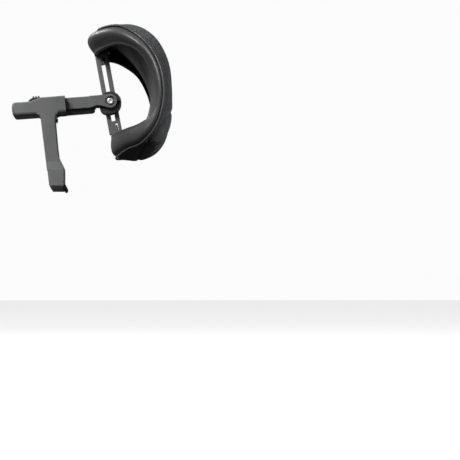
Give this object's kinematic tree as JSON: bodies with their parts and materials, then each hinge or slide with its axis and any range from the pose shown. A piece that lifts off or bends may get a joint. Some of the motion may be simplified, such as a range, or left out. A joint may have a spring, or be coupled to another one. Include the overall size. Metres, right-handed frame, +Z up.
{
  "type": "chair headrest attachment",
  "caption": "Padded headrest on a slotted height rail, with a tilt pivot and a latched sliding arm, on a bracket that bolts behind a chair's back.",
  "frame": {"origin": "centre of the foot's front face, where it rests on the chair's back frame", "axes": "+X forward, out of the foot's face towards the sitter's head; +Y to the sitter's left; +Z up"},
  "size_m": [0.233, 0.2936, 0.2395],
  "materials": {
    "cast_grey": "glass-filled nylon with a fine satin grain",
    "satin_black": "satin black plastic",
    "moulded_shell": "moulded charcoal plastic, fine matt grain",
    "knit_fabric": "charcoal diamond knit over foam",
    "bright_steel": "bright zinc-plated steel",
    "black_steel": "black oxide steel",
    "nylon": "natural nylon",
    "rubber": "matt black rubber"
  },
  "bodies": {
    "bracket": {"bracket_body": "cast_grey", "rear_cap": "cast_grey", "foot_bolt_near": "black_steel", "foot_bolt_far": "black_steel", "foot_washer_near": "bright_steel", "foot_washer_far": "bright_steel", "foot_buffer": "rubber", "stop_screw": "black_steel", "latch_spring": "bright_steel"},
    "latch": {"latch_button": "satin_black", "latch_pawl": "nylon"},
    "arm": {"arm_bar": "cast_grey", "keel_strip": "satin_black", "pivot_bolt": "bright_steel", "pivot_nut": "bright_steel", "friction_washer_near": "nylon", "friction_washer_far": "nylon"},
    "carriage": {"carriage_near": "satin_black", "carriage_far": "satin_black", "rail_glide_near": "nylon", "rail_glide_far": "nylon", "clamp_screw_front": "black_steel", "clamp_screw_rear": "black_steel"},
    "headrest": {"height_rail": "cast_grey", "rail_insert_upper": "rubber", "rail_insert_lower": "rubber", "rail_mount_upper": "satin_black", "rail_mount_lower": "satin_black", "rail_screw_upper": "black_steel", "rail_screw_lower": "black_steel", "shell_frame": "moulded_shell", "rear_panel": "moulded_shell", "edge_trim": "moulded_shell", "pad": "knit_fabric"}
  },
  "joints": [
    {"name": "arm_slide", "type": "slide", "parent": "bracket", "child": "arm", "axis": [0.9969, 0, 0.0785], "range_m": [-0.02, 0.008]},
    {"name": "latch_press", "type": "slide", "parent": "bracket", "child": "latch", "axis": [-0.0785, 0, 0.9969], "range_m": [-0.002, 0], "stiffness_N_per_m": 600, "springref_m": 0.001, "deforming": ["latch_spring"]},
    {"name": "headrest_tilt", "type": "hinge", "parent": "arm", "child": "carriage", "pos_m": [0.068, 0, 0.1102], "axis": [0, 1, 0], "range_deg": [-20, 20]},
    {"name": "headrest_height", "type": "slide", "parent": "carriage", "child": "headrest", "axis": [-0.184, 0, 0.9829], "range_m": [-0.05, 0.024]}
  ]
}
